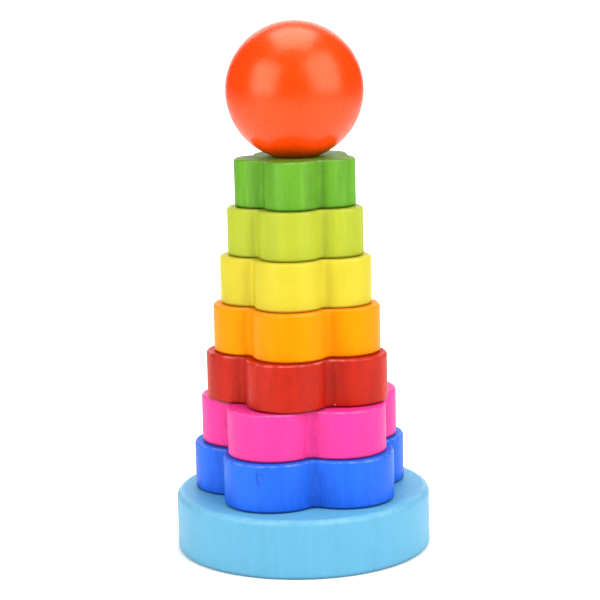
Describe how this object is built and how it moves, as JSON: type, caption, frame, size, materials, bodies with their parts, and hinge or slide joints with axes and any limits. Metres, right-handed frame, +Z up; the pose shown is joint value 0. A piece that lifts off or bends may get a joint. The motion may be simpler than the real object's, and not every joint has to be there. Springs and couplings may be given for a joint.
{
  "type": "rainbow stacking ring tower",
  "caption": "Wooden stacking tower: flower-shaped painted rings that narrow upwards are threaded on a dowel in a round base, with a bored ball on top.",
  "frame": {"origin": "middle of the base's flat underside, on the dowel's axis", "axes": "+Z up along the dowel, -Y towards the front, +X to the right seen from the front"},
  "size_m": [0.096, 0.096, 0.1979],
  "materials": {
    "sky_blue_paint": "satin",
    "blue_paint": "satin",
    "pink_paint": "satin",
    "red_paint": "satin",
    "orange_paint": "satin",
    "yellow_paint": "satin",
    "lime_paint": "satin",
    "green_paint": "satin",
    "ball_paint": "satin",
    "bare_beech": "matte",
    "zinc_steel": "satin"
  },
  "bodies": {
    "stand": {"base": "sky_blue_paint", "peg": "bare_beech", "peg_screw": "zinc_steel"},
    "blue_ring": {"ring_blue": "blue_paint"},
    "pink_ring": {"ring_pink": "pink_paint"},
    "red_ring": {"ring_red": "red_paint"},
    "orange_ring": {"ring_orange": "orange_paint"},
    "yellow_ring": {"ring_yellow": "yellow_paint"},
    "lime_ring": {"ring_lime": "lime_paint"},
    "green_ring": {"ring_green": "green_paint"},
    "ball_top": {"ball": "ball_paint"}
  },
  "joints": [
    {"name": "blue_ring_lift", "type": "slide", "parent": "stand", "child": "blue_ring", "axis": [0, 0, 1], "range_m": [0, 0.16]},
    {"name": "pink_ring_lift", "type": "slide", "parent": "blue_ring", "child": "pink_ring", "axis": [0, 0, 1], "range_m": [0, 0.142]},
    {"name": "red_ring_lift", "type": "slide", "parent": "pink_ring", "child": "red_ring", "axis": [0, 0, 1], "range_m": [0, 0.124]},
    {"name": "orange_ring_lift", "type": "slide", "parent": "red_ring", "child": "orange_ring", "axis": [0, 0, 1], "range_m": [0, 0.106]},
    {"name": "yellow_ring_lift", "type": "slide", "parent": "orange_ring", "child": "yellow_ring", "axis": [0, 0, 1], "range_m": [0, 0.088]},
    {"name": "lime_ring_lift", "type": "slide", "parent": "yellow_ring", "child": "lime_ring", "axis": [0, 0, 1], "range_m": [0, 0.07]},
    {"name": "green_ring_lift", "type": "slide", "parent": "lime_ring", "child": "green_ring", "axis": [0, 0, 1], "range_m": [0, 0.052]},
    {"name": "ball_lift", "type": "slide", "parent": "green_ring", "child": "ball_top", "axis": [0, 0, 1], "range_m": [0, 0.036]}
  ]
}
